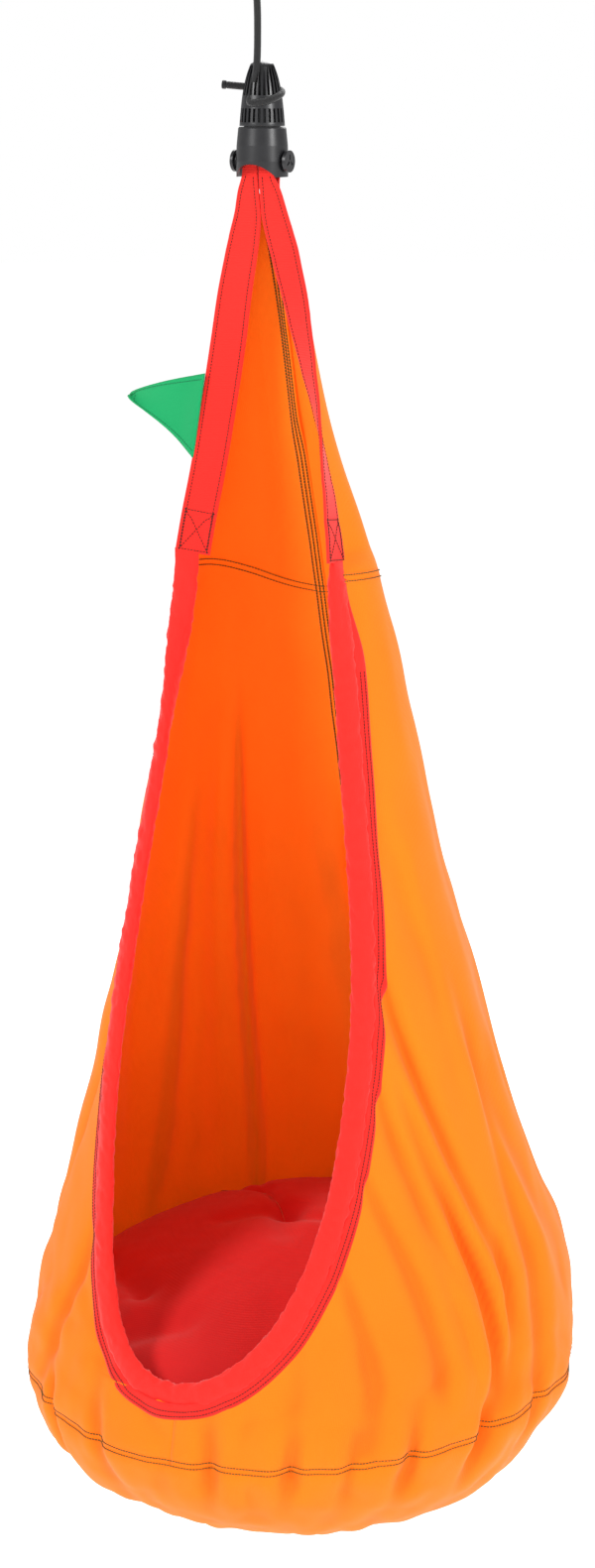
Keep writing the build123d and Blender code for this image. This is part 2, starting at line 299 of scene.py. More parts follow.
def seam_height(y):
    """The bottom seam's height."""
    return SEAM_Z + SEAM_SLOPE * (y - SEAM_Y)


def shell_point(phi, u):
    """phi is 0 at the back and grows towards +X; u is the place down the stations."""
    z, rx, ry, yc = profile(u)
    x = rx * np.sin(phi)
    slim = 0.13 * step_up(-0.37, -0.46, z) * (1 - step_up(-0.66, -0.80, z))
    x = np.where(x < 0, x * (1 - slim), x)
    return np.stack([x, yc + ry * np.cos(phi), z], axis=-1)


def shell_normal(phi, u):
    """Outwards from the nest."""
    e = 1e-3
    along = shell_point(phi + e, u) - shell_point(phi - e, u)
    down = shell_point(phi, np.minimum(u + e, len(SHELL) - 1)) - shell_point(phi, np.maximum(u - e, 0))
    return unit(np.cross(-down, along))


def strap_at(z, side):
    """Centre, width direction and half width of a strap at a height."""
    x, y, width, left, right = hermite(STRAPS[:, 2], STRAPS[:, [0, 1, 3, 4, 5]], np.asarray(z) / MM).T
    turn = np.radians(left if side < 0 else right)
    centre = np.stack([side * x * MM, y * MM, np.asarray(z, float)], axis=-1)
    across = np.stack([side * np.cos(turn), -np.sin(turn), 0 * turn], axis=-1)
    return centre, across, width * MM / 2


def rim_skew(x, z):
    """The mouth's lower lip hangs lower on the left."""
    return 0.13 * x * step_up(-1.42, -1.60, z) * (1 - 0.5 * step_up(0.08, 0.16, np.abs(x)))


def edge_at(z, side):
    """The cloth's front edge: under the strap above, along the rim below. z is before the skew."""
    z = np.asarray(z, float)
    x, y = hermite(RIM_RIGHT[:, 2], RIM_RIGHT[:, :2], z).T
    rim = np.stack([x * side, y, z], axis=-1)
    rim[:, 2] += rim_skew(rim[:, 0], z)
    high = np.clip(z, -0.76, -0.309)
    centre, across, half = strap_at(high, side)
    down = step_up(-0.40, -0.70, z)
    share = 0.6 - (1.45 if side > 0 else 0.2) * down
    behind = np.stack([-across[:, 1], np.abs(across[:, 0]), 0 * down], axis=-1)
    if side < 0:
        behind[:, 0] *= -1
    deep = 3.5 * MM * (1 - (2 if side > 0 else 0) * down)
    under = centre + across * (half * share)[:, None] + behind * deep[:, None]
    under[:, 2] = z
    w = step_up(-0.735, RIM_TOP_Z, z)[:, None]
    return under * (1 - w) + rim * w


def ridge(distance, width):
    """A smooth hump, 1 at its middle."""
    return np.exp(-(distance / width) ** 2)


# soft folds of the cloth: start (phi, z), end (phi, z), width and height
FOLDS = [
    (2.30, -1.14, 1.80, -1.66, 0.016, -0.016),
    (2.26, -1.24, 1.93, -1.67, 0.015, -0.014),
    (2.34, -1.20, 1.86, -1.62, 0.018, 0.012),
    (2.38, -1.28, 2.06, -1.66, 0.014, -0.011),
    (2.10, -1.02, 1.42, -1.52, 0.034, -0.010),
    (1.85, -1.08, 1.60, -1.60, 0.022, 0.009),
    (1.60, -1.30, 1.72, -1.69, 0.018, -0.011),
    (1.30, -0.95, 1.05, -1.50, 0.050, -0.009),
    (2.45, -1.40, 2.20, -1.68, 0.014, -0.010),
    (2.60, -1.50, 2.45, -1.72, 0.014, -0.009),
    (2.02, -1.45, 1.92, -1.70, 0.011, -0.013),
    (2.12, -1.50, 2.00, -1.70, 0.013, 0.010),
    (1.78, -1.50, 1.88, -1.70, 0.012, -0.010),
    (-0.77, -0.98, -0.68, -1.66, 0.009, -0.020),
    (-0.90, -0.95, -0.84, -1.60, 0.020, 0.011),
    (-0.58, -1.00, -0.52, -1.58, 0.024, 0.008),
    (-1.10, -1.05, -1.16, -1.60, 0.016, -0.009),
    (-1.40, -1.20, -1.24, -1.66, 0.024, 0.007),
    (-2.30, -1.22, -1.90, -1.66, 0.020, -0.010),
    (-2.10, -1.05, -1.60, -1.50, 0.034, -0.008),
    (-1.75, -1.30, -1.70, -1.68, 0.018, -0.009),
    (-2.55, -1.50, -2.35, -1.72, 0.014, -0.010),
    (0.40, -1.00, 0.62, -1.60, 0.030, -0.009),
    (0.75, -1.10, 1.00, -1.66, 0.022, 0.008),
    (-0.04, -1.08, -0.05, -1.62, 0.011, 0.017),
    (-0.20, -0.98, -0.16, -1.58, 0.030, -0.008),
    (0.12, -1.05, 0.08, -1.55, 0.022, -0.006),
    (-0.50, -0.46, -0.40, -0.75, 0.012, 0.004),
    (0.70, -0.80, 0.90, -1.10, 0.030, -0.006),
    (0.05, -0.42, 0.02, -0.62, 0.007, -0.004),
]
# gathers along the bottom seam: phi and depth
PUCKERS = [(1.93, 0.026), (1.62, 0.012), (2.25, 0.014), (2.48, 0.010), (2.70, 0.012), (3.0, 0.012), (-2.8, 0.010),
           (-2.45, 0.013), (-2.0, 0.014), (-1.5, 0.010), (-1.0, 0.012), (-0.5, 0.010), (0.1, 0.009),
           (0.6, 0.012), (1.15, 0.013)]


def fold_height(phi, u, points):
    """How far the cloth stands out of the smooth shell."""
    z, radius = profile(u)[:2]
    height = np.zeros(len(z))
    for phi0, z0, phi1, z1, width, size in FOLDS:
        t = np.clip((z - z0) / (z1 - z0), -0.2, 1.2)
        centre = phi0 + (phi1 - phi0) * t + 0.05 * np.sin(3.0 * t + phi0)
        fade = step_up(-0.15, 0.35, t) * (1 - step_up(0.85, 1.15, t))
        height += size * fade * ridge((phi - centre) * radius, width * (0.7 + 0.5 * t))
    off_seam = z - seam_height(points[:, 1])
    for phi0, size in PUCKERS:
        gap = np.angle(np.exp(1j * (phi - phi0 - 0.25 * off_seam)))
        height -= size * ridge(gap * radius, 0.011 + 0.10 * np.abs(off_seam)) * ridge(off_seam, 0.055)
    foot = step_up(-1.45, -1.68, z) * (1 - 0.8 * step_up(-1.80, -1.87, z))
    height += 0.0030 * wobble(points, 9.0, 1.0) * step_up(-0.5, -1.0, z)
    height += 0.0016 * wobble(points * np.array([1, 1, 0.35]), 38.0, 2.0) * step_up(-0.5, -0.9, z)
    height += 0.0080 * np.abs(wobble(points, 13.0, 4.0)) * foot
    height += 0.0034 * wobble(points, 30.0, 7.0) * step_up(-1.50, -1.70, z)
    height -= 0.0022 * ridge(off_seam, 0.006)
    height -= 0.0014 * ridge(phi * radius, 0.006) * (z > -1.70)
    return height * step_up(-0.36, -0.50, z)


def cloth_rows():
    """phi and u for a grid of rows down the nest and columns round it, and the front's row heights."""
    share = np.linspace(-1, 1, COLUMNS)
    top = np.linspace(CLOTH_TOP_Z, RIM_TOP_Z, 96)
    mouth = resample(RIM_RIGHT[RIM_RIGHT[:, 2] <= RIM_TOP_Z], 5 * MM)[0][1:, 2]
    last = mouth[-1]
    heights = np.concatenate([top, mouth, np.linspace(last, FRONT_SEAM_Z, 15)[1:]])
    edge_phi = {}
    for side in (-1, 1):
        spot = edge_at(heights, side)
        _, rx, ry, yc = profile(place_of(heights))
        angle = np.arctan2(np.abs(spot[:, 0]) / rx, (spot[:, 1] - yc) / ry)
        edge_phi[side] = np.where(heights < last + 1e-6, math.pi, angle)
    size = np.abs(share)[None, :]
    phi = np.zeros((len(heights), COLUMNS))
    for side in (-1, 1):
        short = math.pi - edge_phi[side][:, None]
        power = np.clip(0.8 * math.pi / np.maximum(short, 1e-6), 1.0, 12.0)
        phi = np.where(share * side > 0, side * (math.pi * size - short * size ** power), phi)
    # the seams dip at the back; the rows lean to follow them
    dip_top = -0.035 * ridge(share, 0.27) * (1 - share ** 2)
    z_seam = np.full(COLUMNS, FRONT_SEAM_Z)
    for _ in range(30):
        y = shell_point(math.pi * share, place_of(z_seam))[:, 1]
        z_seam = seam_height(y)
    rise = z_seam - FRONT_SEAM_Z
    above, below = step_up(-0.40, RIM_TOP_Z, heights), 1 - step_up(RIM_TOP_Z, -1.15, heights)
    w_top = np.where(heights > top[-1], above, below)
    w_low = np.clip((heights + 1.0) / (FRONT_SEAM_Z + 1.0), 0, 1) ** 1.3
    z = heights[:, None] + w_top[:, None] * dip_top + w_low[:, None] * rise
    u = place_of(z)
    # below the bottom seam the rows close to the lowest point
    steps = 52
    t = (np.arange(1, steps + 1) / steps)[:, None]
    u_low = u[-1] + (len(SHELL) - 1 - u[-1]) * t
    phi_low = np.repeat(phi[-1][None], steps, axis=0)
    return np.concatenate([phi, phi_low]), np.concatenate([u, u_low]), heights, len(top) - 1


def painted_fold_shade_of(lift):
    """From 0 to 1: how deep each place lies in a fold, compared with the cloth around it. The cloth's colour is
    darkened by it as painted shade.
    """
    wide = smoothed(lift.T.copy(), 60).T
    return np.clip((wide - lift) / (4.5 * MM), 0, 1)


def cloth_grid():
    """The cloth's points, row by row, with the rows of its two seams and how deep in a fold each place lies, for the
    painted shade in the folds.
    """
    phi, u, heights, seam_row = cloth_rows()
    rows, fronts = phi.shape[0], len(heights)
    flat_phi, flat_u = phi.ravel(), u.ravel()
    smooth = shell_point(flat_phi, flat_u)
    lift = fold_height(flat_phi, flat_u, smooth).reshape(rows, COLUMNS)
    rx = profile(flat_u)[1].reshape(rows, COLUMNS)
    closed = phi[:, -1] >= math.pi - 1e-6
    first_low = int(np.argmax(closed))
    # no folds right at the mouth's edge
    edge_angle = np.where(phi < 0, -phi[:, :1], phi[:, -1:])
    reach = (edge_angle - np.abs(phi)) * rx
    lift = np.where(closed[:, None], lift, lift * (1 - ridge(reach, 0.020)))
    base = (smooth + shell_normal(flat_phi, flat_u) * lift.reshape(-1, 1)).reshape(rows, COLUMNS, 3)
    # the front edges go exactly to the straps and the rim
    for side, column in ((-1, 0), (1, COLUMNS - 1)):
        gap = np.zeros((rows, 3))
        gap[:fronts] = edge_at(heights, side) - base[:fronts, column]
        gap[closed] = 0.0
        # the rows just below the lip ease back to the shell
        ease = 10
        for k in range(ease):
            gap[first_low + k] = gap[first_low - 1] * (1 - (k + 1) / (ease + 1.0))
        distance = np.abs(phi[:, column][:, None] - phi) * np.maximum(rx, 0.03)
        base += gap[:, None, :] * ridge(distance, 0.055)[..., None]
    # both ends of a closed row are the same place
    middle = (base[closed, 0] + base[closed, -1]) / 2
    base[closed, 0] = middle
    base[closed, -1] = middle
    return base, seam_row, fronts - 1, painted_fold_shade_of(lift)


# ------------------------------------------------------------------ materials
def material(name):
    mat = bpy.data.materials.new(name)
    mat.use_nodes = True
    tree = mat.node_tree
    return mat, tree, tree.nodes["Principled BSDF"]


def add(tree, kind, **values):
    node = tree.nodes.new(kind)
    for key, value in values.items():
        if key in node.inputs:
            node.inputs[key].default_value = value
        else:
            setattr(node, key, value)
    return node


def colour_mix(tree, dark, light, factor):
    ramp = add(tree, "ShaderNodeValToRGB")
    ramp.color_ramp.elements[0].color = (*dark, 1)
    ramp.color_ramp.elements[1].color = (*light, 1)
    tree.links.new(factor, ramp.inputs["Fac"])
    return ramp.outputs["Color"]


def srgb(r, g, b):
    def lin(c):
        c = c / 255.0
        return c / 12.92 if c <= 0.04045 else ((c + 0.055) / 1.055) ** 2.4
    return lin(r), lin(g), lin(b)


def scaled(colour, k):
    return tuple(min(1.0, c * k) for c in colour)


def woven(name, colour, pitch=0.7, rough=0.82, sheen=0.25, bump=0.25, blotch=0.08, ribs=False, painted_glow=0.0, with_fold_shade=False):
    """Cloth: a fine over-and-under weave, slow blotches of colour and a slubby bump; if asked, painted shade in the
    folds and painted light from within the cloth.
    """
    mat, tree, shader = material(name)
    coords = add(tree, "ShaderNodeTexCoord")
    place = coords.outputs["Object"]
    scale = 1000.0 / pitch / 2.0
    waves = []
    for direction in ("X", "Z") if not ribs else ("Z",):
        wave = add(tree, "ShaderNodeTexWave", wave_type="BANDS", bands_direction=direction, Scale=scale / 3.14,
                   Distortion=0.6)
        wave.inputs["Detail"].default_value = 1.0
        wave.inputs["Detail Scale"].default_value = 3.0
        tree.links.new(place, wave.inputs["Vector"])
        waves.append(wave.outputs["Fac"])
    weave = waves[0]
    if len(waves) > 1:
        join = add(tree, "ShaderNodeMath", operation="ADD")
        tree.links.new(waves[0], join.inputs[0])
        tree.links.new(waves[1], join.inputs[1])
        weave = join.outputs[0]
    slow = add(tree, "ShaderNodeTexNoise", Scale=7.0, Detail=3.0, Roughness=0.55)
    slub = add(tree, "ShaderNodeTexNoise", Scale=420.0, Detail=2.0, Roughness=0.6)
    for node in (slow, slub):
        tree.links.new(place, node.inputs["Vector"])
    mix = add(tree, "ShaderNodeMath", operation="MULTIPLY_ADD")
    tree.links.new(slub.outputs["Fac"], mix.inputs[0])
    mix.inputs[1].default_value = 0.45
    tree.links.new(slow.outputs["Fac"], mix.inputs[2])
    dyed = colour_mix(tree, scaled(colour, 1 - 1.4 * blotch), scaled(colour, 1 + blotch), mix.outputs[0])
    if with_fold_shade:
        # painted shade: the cloth's colour is darkened down in the folds
        painted_fold_shade = add(tree, "ShaderNodeAttribute", attribute_name="painted_fold_shade")
        depth = add(tree, "ShaderNodeMapRange")
        depth.inputs["To Min"].default_value = 1.0
        depth.inputs["To Max"].default_value = 0.76
        tree.links.new(painted_fold_shade.outputs["Fac"], depth.inputs["Value"])
        darken_in_folds = add(tree, "ShaderNodeVectorMath", operation="SCALE")
        tree.links.new(dyed, darken_in_folds.inputs[0])
        tree.links.new(depth.outputs["Result"], darken_in_folds.inputs["Scale"])
        dyed = darken_in_folds.outputs[0]
    tree.links.new(dyed, shader.inputs["Base Color"])
    height = add(tree, "ShaderNodeMath", operation="MULTIPLY_ADD")
    tree.links.new(slub.outputs["Fac"], height.inputs[0])
    height.inputs[1].default_value = 0.8
    tree.links.new(weave, height.inputs[2])
    relief = add(tree, "ShaderNodeBump", Strength=bump, Distance=0.0003)
    tree.links.new(height.outputs[0], relief.inputs["Height"])
    tree.links.new(relief.outputs["Normal"], shader.inputs["Normal"])
    shader.inputs["Roughness"].default_value = rough
    shader.inputs["Specular IOR Level"].default_value = 0.25
    shader.inputs["Sheen Weight"].default_value = sheen
    shader.inputs["Sheen Roughness"].default_value = 0.5
    # painted light: the cloth glows a little in its own colour, standing in for light shining through the thin cotton
    if painted_glow:
        shader.inputs["Emission Color"].default_value = (*colour, 1)
        shader.inputs["Emission Strength"].default_value = painted_glow
    return mat


def hard(mat, tree, shader, colour, rough, shades, wear, marks, grain, relief):
    """A hard surface: slow changes of shade and polish, and a fine relief."""
    place = add(tree, "ShaderNodeTexCoord").outputs["Object"]
    slow = add(tree, "ShaderNodeTexNoise", Scale=marks[0], Detail=marks[1], Roughness=marks[2])
    fine = add(tree, "ShaderNodeTexNoise", Scale=grain, Detail=2.0) if grain else slow
    tree.links.new(place, slow.inputs["Vector"])
    if grain:
        tree.links.new(place, fine.inputs["Vector"])
    shade = colour_mix(tree, scaled(colour, shades[0]), scaled(colour, shades[1]), slow.outputs["Fac"])
    tree.links.new(shade, shader.inputs["Base Color"])
    worn = add(tree, "ShaderNodeMapRange")
    worn.inputs["To Min"].default_value = rough - wear[0]
    worn.inputs["To Max"].default_value = rough + wear[1]
    tree.links.new(slow.outputs["Fac"], worn.inputs["Value"])
    tree.links.new(worn.outputs["Result"], shader.inputs["Roughness"])
    bump = add(tree, "ShaderNodeBump", Strength=relief[0], Distance=relief[1])
    tree.links.new(fine.outputs["Fac"], bump.inputs["Height"])
    tree.links.new(bump.outputs["Normal"], shader.inputs["Normal"])
    return mat


def moulded(name, colour, rough=0.38):
    """Moulded plastic with a fine spark-eroded texture and faint handling marks."""
    return hard(*material(name), colour, rough, (0.85, 1.2), (0.05, 0.1), (45.0, 4.0, 0.6), 900.0, (0.06, 0.0004))


def metal(name, colour, rough=0.3, streak=60.0):
    mat, tree, shader = material(name)
    shader.inputs["Metallic"].default_value = 1.0
    return hard(mat, tree, shader, colour, rough, (0.8, 1.15), (0.08, 0.15), (streak, 5.0, 0.65), None, (0.08, 0.0005))


ORANGE = srgb(250, 114, 2)
RED = srgb(230, 33, 24)
CUSHION_RED = srgb(208, 26, 26)
LEAF = srgb(0, 152, 88)
MATS = {
    # the orange cloth has painted shade in its folds and painted light from within
    "shell_orange": woven("cotton_orange", ORANGE, pitch=0.8, bump=0.3, sheen=0.08, painted_glow=0.13, with_fold_shade=True),
    "cushion_red": woven("cotton_red", CUSHION_RED, pitch=0.8, bump=0.3, sheen=0.2),
    "rim_red": woven("binding_red", RED, pitch=0.8, bump=0.3, sheen=0.2),
    "strap_red": woven("webbing_red", RED, pitch=1.4, bump=0.5, sheen=0.2, ribs=True),
    "leaf_green": woven("cotton_green", LEAF, pitch=0.8, bump=0.25, sheen=0.15),
    "thread_olive": woven("thread_olive", srgb(92, 78, 16), pitch=0.3, bump=0.3, rough=0.6, sheen=0.1),
    "thread_dark": woven("thread_dark", srgb(70, 26, 16), pitch=0.3, bump=0.3, rough=0.6, sheen=0.1),
    "thread_green": woven("thread_green", srgb(0, 84, 52), pitch=0.3, bump=0.3, rough=0.6, sheen=0.1),
    "thread_light": woven("thread_light", srgb(196, 120, 96), pitch=0.3, bump=0.3, rough=0.6, sheen=0.1),
    "rope_black": woven("cord_black", srgb(15, 15, 16), pitch=0.5, rough=0.55, bump=0.6, sheen=0.3, blotch=0.3),
    "swivel_plastic": moulded("plastic_dark", srgb(31, 31, 33), rough=0.32),
    "sleeve_black": moulded("sleeve_black", srgb(34, 34, 36), rough=0.5),
    "bearing_plastic": moulded("bearing_grey", srgb(150, 152, 150), rough=0.4),
    "plate_steel": metal("zinc_plate", (0.62, 0.64, 0.66), rough=0.38),
    "ring_steel": metal("ring_steel", (0.66, 0.67, 0.69), rough=0.22, streak=90.0),
    "axle_steel": metal("axle_steel", (0.5, 0.51, 0.53), rough=0.3),
}


def finish_piece(piece, body, slot, *nodes, mat=None):
    piece.data.materials.clear()
    piece.data.materials.append(MATS[mat or slot])
    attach(piece, body)
    if nodes:
        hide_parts(*nodes)
    return piece


# ------------------------------------------------------------------ sewing thread
def stitches(name, runs, pitch=3.6 * MM, length=2.9 * MM, width=0.9 * MM):
    """Small domed stitches along runs of (points, outward normals), sunk halfway into the cloth."""
    verts, faces = [], []
    ring = 6
    ends = ((-0.5, 0.25), (-0.36, 0.85), (0.0, 1.0), (0.36, 0.85), (0.5, 0.25))
    for points, normals in runs:
        line, at = resample(points, pitch)
        along = np.concatenate([[0], np.cumsum(np.linalg.norm(np.diff(points, axis=0), axis=1))])
        out = unit(np.stack([np.interp(at, along, np.asarray(normals)[:, k]) for k in range(3)], axis=1))
        t = tangents(line)
        for p, n, d in zip(line, out, t):
            side = unit(np.cross(n, d))
            start = len(verts)
            for s, k in ends:
                for j in range(ring):
                    a = 2 * math.pi * j / ring
                    verts.append(p + d * (s * length) + side * (math.cos(a) * width / 2 * k)
                                 + n * ((0.25 * (1 - 4 * s * s) + 0.5 * math.sin(a) * k) * width))
            for i in range(len(ends) - 1):
                for j in range(ring):
                    k = (j + 1) % ring
                    here, above = start + i * ring, start + (i + 1) * ring
                    faces.append((here + j, here + k, above + k, above + j))
            faces.append(tuple(start + j for j in reversed(range(ring))))
            faces.append(tuple(start + (len(ends) - 1) * ring + j for j in range(ring)))
    return new_piece(name, verts, faces)


# ------------------------------------------------------------------ making
make_camera()

rope_line = nurbs_line(ROPE_ROUTE)


def make_rope(line):
    """Sixteen strands plaited over and under on a round core, as one mesh."""
    path, at = resample(line, 0.7 * MM)
    n, b = carried_frames(path)
    strands = 16
    around = 64
    angle = np.linspace(0, 2 * math.pi, around, endpoint=False)
    turn = at[:, None] / (22 * MM) * 2 * math.pi
    left = np.cos(strands / 2 * (angle[None, :] + turn))
    right = np.cos(strands / 2 * (angle[None, :] - turn))
    over = np.cos(strands / 4 * (2 * turn))
    relief = 0.5 * np.maximum(left, right) + 0.12 * over * (left - right)
    radius = ROPE_R * (0.955 + 0.075 * relief)
    ends = step_up(0, 1.0 * MM, at) * step_up(0, 1.0 * MM, at[-1] - at)
    radius = radius * (0.7 + 0.3 * ends[:, None])
    sideways = n[:, None, :] * (np.cos(angle)[None, :] * radius)[..., None]
    upwards = b[:, None, :] * (np.sin(angle)[None, :] * radius)[..., None]
    piece = tube("rope_braid", path[:, None, :] + sideways + upwards, 1e-6)
    return finish_piece(piece, "hanger", "rope_black", "suspension_rope")


rope = make_rope(rope_line)

# ------------------------------------------------------------------ the carried-over hardware
KEPT = {
    "ceiling_plate": "plate_steel", "plate_eye": "plate_steel", "hanging_ring": "ring_steel",
    "rope_tip": "rope_black", "rope_sleeve": "sleeve_black",
    "swivel_head": "swivel_plastic", "swivel_base": "swivel_plastic", "thrust_bearing": "bearing_plastic",
    "swivel_axle": "axle_steel", "slide_washer": "bearing_plastic", "axle_nut": "axle_steel",
    "swivel_collar": "swivel_plastic", "strap_pin": "axle_steel", "pin_sleeve": "bearing_plastic",
    "pin_cap_left": "swivel_plastic", "pin_cap_right": "swivel_plastic",
}
for node, slot in KEPT.items():
    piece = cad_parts[node]
    if not piece.material_slots:
        piece.data.materials.append(MATS[slot])
    for place in piece.material_slots:
        place.material = MATS[slot]

# ------------------------------------------------------------------ cloth panels
grid, upper_row, low_row, painted_fold_shade_grid = cloth_grid()
grid_rows = grid.shape[0]
CLOTH = 1.4 * MM
CLOTH_TREE = BVHTree.FromPolygons([tuple(p) for p in grid.reshape(-1, 3)], grid_faces(grid_rows, COLUMNS))
middle_column = COLUMNS // 2
along_row = np.gradient(grid, axis=1)
down_row = np.gradient(grid, axis=0)
grid_out = unit(np.cross(-down_row.reshape(-1, 3), along_row.reshape(-1, 3))).reshape(grid.shape)
grid_out[-1] = (0, 0, -1)


def panel(name, rows, columns, node):
    r0, r1 = rows
    c0, c1 = columns
    part = grid[r0:r1 + 1, c0:c1 + 1]
    shape = part.shape[:2]
    piece = new_piece(name, part.reshape(-1, 3), grid_faces(shape[0], shape[1]))
    # painted shade: how deep each place lies in a fold, kept so that the colour can be darkened there
    layer = piece.data.attributes.new("painted_fold_shade", "FLOAT", "POINT")
    layer.data.foreach_set("value", painted_fold_shade_grid[r0:r1 + 1, c0:c1 + 1].astype(np.float32).ravel())
    mend(piece, 0.00005)
    # outwards is away from the nest's axis
    centre = Vector((0.0, 0.07, -1.2))
    total = sum(((p.center - centre).dot(p.normal) * p.area) for p in piece.data.polygons)
    if total < 0:
        piece.data.flip_normals()
    thicken(piece, CLOTH)
    finish_piece(piece, "nest", "shell_orange", node)


last_row = grid_rows - 1
PANELS = [
    ("cloth_upper_left", (0, upper_row), (0, middle_column), "upper_panel_left"),
    ("cloth_upper_right", (0, upper_row), (middle_column, COLUMNS - 1), "upper_panel_right"),
    ("cloth_wall_left", (upper_row, low_row), (0, middle_column), "wall_panel_left"),
    ("cloth_wall_right", (upper_row, low_row), (middle_column, COLUMNS - 1), "wall_panel_right"),
    ("cloth_bottom", (low_row, last_row), (0, COLUMNS - 1), "bottom_panel"),
]
for name, rows, columns, node in PANELS:
    panel(name, rows, columns, node)

# ------------------------------------------------------------------ straps
STRAP_HALF_THICK = 1.5 * MM
STRAP_TOP_Z, STRAP_BACK_Z = -0.309, -0.352
BACK_POINTS, LOOP_POINTS, FRONT_POINTS = 16, 14, 150
BOX_TOP_Z, BOX_LOW_Z = -0.700, -0.744


def strap_line(side):
    """The strap's centre line from behind the pin, over it and down to the rim, with its width direction."""
    centre, across, half = strap_at(np.linspace(STRAP_TOP_Z, STRAP_END_Z, FRONT_POINTS), side)
    radius = AXIS_Y - centre[0, 1]
    back = []
    for z in np.linspace(STRAP_TOP_Z, STRAP_BACK_Z, BACK_POINTS)[::-1]:
        w = step_up(STRAP_TOP_Z, STRAP_BACK_Z, z)
        spot = strap_at(np.array([z]), side)[0][0]
        back.append((spot[0], (AXIS_Y + radius) * (1 - w) + (spot[1] + 3.2 * MM) * w, z))
    turn = np.linspace(0, math.pi, LOOP_POINTS)[1:-1]
    loop = np.stack([np.full(len(turn), centre[0, 0]), AXIS_Y + radius * np.cos(turn),
                     PIN_Z + radius * np.sin(turn)], axis=1)
    before = len(back) + len(loop)
    line = np.concatenate([back, loop, centre])
    sides = np.concatenate([np.tile(across[0], (before, 1)), across])
    return line, sides, np.concatenate([np.full(before, half[0]), half])


def strap_shape():
    """The webbing's section, in half widths and metres."""
    edge = [(-1, -0.35), (-0.985, -0.8), (-0.95, -1.0)]
    across = [(x, -1.0) for x in np.linspace(-0.86, 0.86, 9)]
    low = edge + across + [(-x, y) for x, y in reversed(edge)]
    high = [(x, -y) for x, y in reversed(low)]
    return [(x, y * STRAP_HALF_THICK) for x, y in low + high]


def make_strap(side, word):
    line, across, half = strap_line(side)
    t = tangents(line)
    across = unit(across - t * (across * t).sum(axis=1)[:, None])
    out = unit(np.cross(t, across)) * (1 if side > 0 else -1)
    ripple = 0.8 * MM * wobble(line, 30.0, 5.0 + side) + 0.35 * MM * wobble(line, 110.0, 6.0)
    ripple *= step_up(-0.33, -0.40, line[:, 2])
    line = line + out * ripple[:, None]
    size = np.stack([half, np.ones(len(half))], axis=1)
    piece = sweep("webbing_" + word, line, across, out, strap_shape(), size)
    finish_piece(piece, "nest", "strap_red", "strap_" + word)
    runs = []
    start = BACK_POINTS + LOOP_POINTS - 2
    face = STRAP_HALF_THICK + 0.1 * MM
    low = slice(start + 6, len(line) - 2)
    for edge in (-1, 1):
        inset = edge * (half - 5 * MM)
        for facing in (-1, 1):
            runs.append(((line + across * inset[:, None] + out * (facing * face))[low], (out * facing)[low]))

    # the crossed box where the strap is sewn to the rim
    def at(z, part):
        i = np.argmin(np.abs(line[start:, 2] - z)) + start
        return line[i] + across[i] * part * half[i], out[i]

    corners = [(BOX_TOP_Z, -0.8), (BOX_TOP_Z, 0.8), (BOX_LOW_Z, 0.8), (BOX_LOW_Z, -0.8), (BOX_TOP_Z, -0.8),
               (BOX_LOW_Z, 0.8), None, (BOX_TOP_Z, 0.8), (BOX_LOW_Z, -0.8)]
    for facing in (-1, 1):
        for a, b in zip(corners[:-1], corners[1:]):
            if a is None or b is None:
                continue
            seg, normals = [], []
            for k in np.linspace(0, 1, 9):
                p, n = at(a[0] + (b[0] - a[0]) * k, a[1] + (b[1] - a[1]) * k)
                seg.append(p + n * facing * (face + 0.1 * MM))
                normals.append(n * facing)
            runs.append((np.array(seg), np.array(normals)))
    thread = stitches("thread_strap_" + word, runs, width=1.1 * MM)
    finish_piece(thread, "nest", "strap_red", mat="thread_dark")


make_strap(1, "right")
make_strap(-1, "left")

# ------------------------------------------------------------------ padded rim
RIM_HALF_WIDE, RIM_HALF_THICK = 13.5 * MM, 7.8 * MM
RIM_INSET = 3 * MM


def rim_line():
    mouth = RIM_RIGHT[RIM_RIGHT[:, 2] <= RIM_TOP_Z]
    z = np.concatenate([np.linspace(-0.742, RIM_TOP_Z, 6)[:-1], resample(mouth, 4 * MM)[0][:, 2]])
    z = z[z > -1.652]
    left, right = edge_at(z, -1), edge_at(z, 1)
    a, b = left[-1], right[-1]
    slope_a, slope_b = left[-1] - left[-4], right[-4] - right[-1]
    scale = np.linalg.norm(b - a)
    join = []
    for k in np.linspace(0, 1, 44)[1:-1]:
        h0, h1, h2, h3 = basis(k)
        join.append(h0 * a + h1 * unit(slope_a) * scale * 1.15 + h2 * b + h3 * unit(slope_b) * scale * 1.15)
    line, at = resample(np.concatenate([left, np.array(join), right[::-1]]), 3.0 * MM)
    return smoothed(line, 25), at


def rim_frames(line):
    """The cloth's normal, the way towards the mouth, and the padding's wide and thick directions."""
    t = tangents(line)
    z = np.clip(line[:, 2], -1.80, -0.74)
    _, rx, ry, yc = profile(place_of(z))
    phi = np.arctan2(line[:, 0] / rx, (line[:, 1] - yc) / ry)
    n = shell_normal(phi, place_of(z))
    n = unit(n - t * (n * t).sum(axis=1)[:, None])
    mouth = unit(np.cross(n, t))
    # at the top the band starts in the strap's own plane
    wide = mouth.copy()
    for i, p in enumerate(line):
        side = -1 if i < len(line) / 2 else 1
        _, across, _ = strap_at(np.array([max(p[2], STRAP_END_Z)]), side)
        w = float(1 - step_up(-0.745, -1.02 if side < 0 else -0.86, p[2]))
        wide[i] = unit(across[0] * w + mouth[i] * (1 - w))
    wide = unit(wide - t * (wide * t).sum(axis=1)[:, None])
    return n, mouth, wide, unit(np.cross(t, wide))


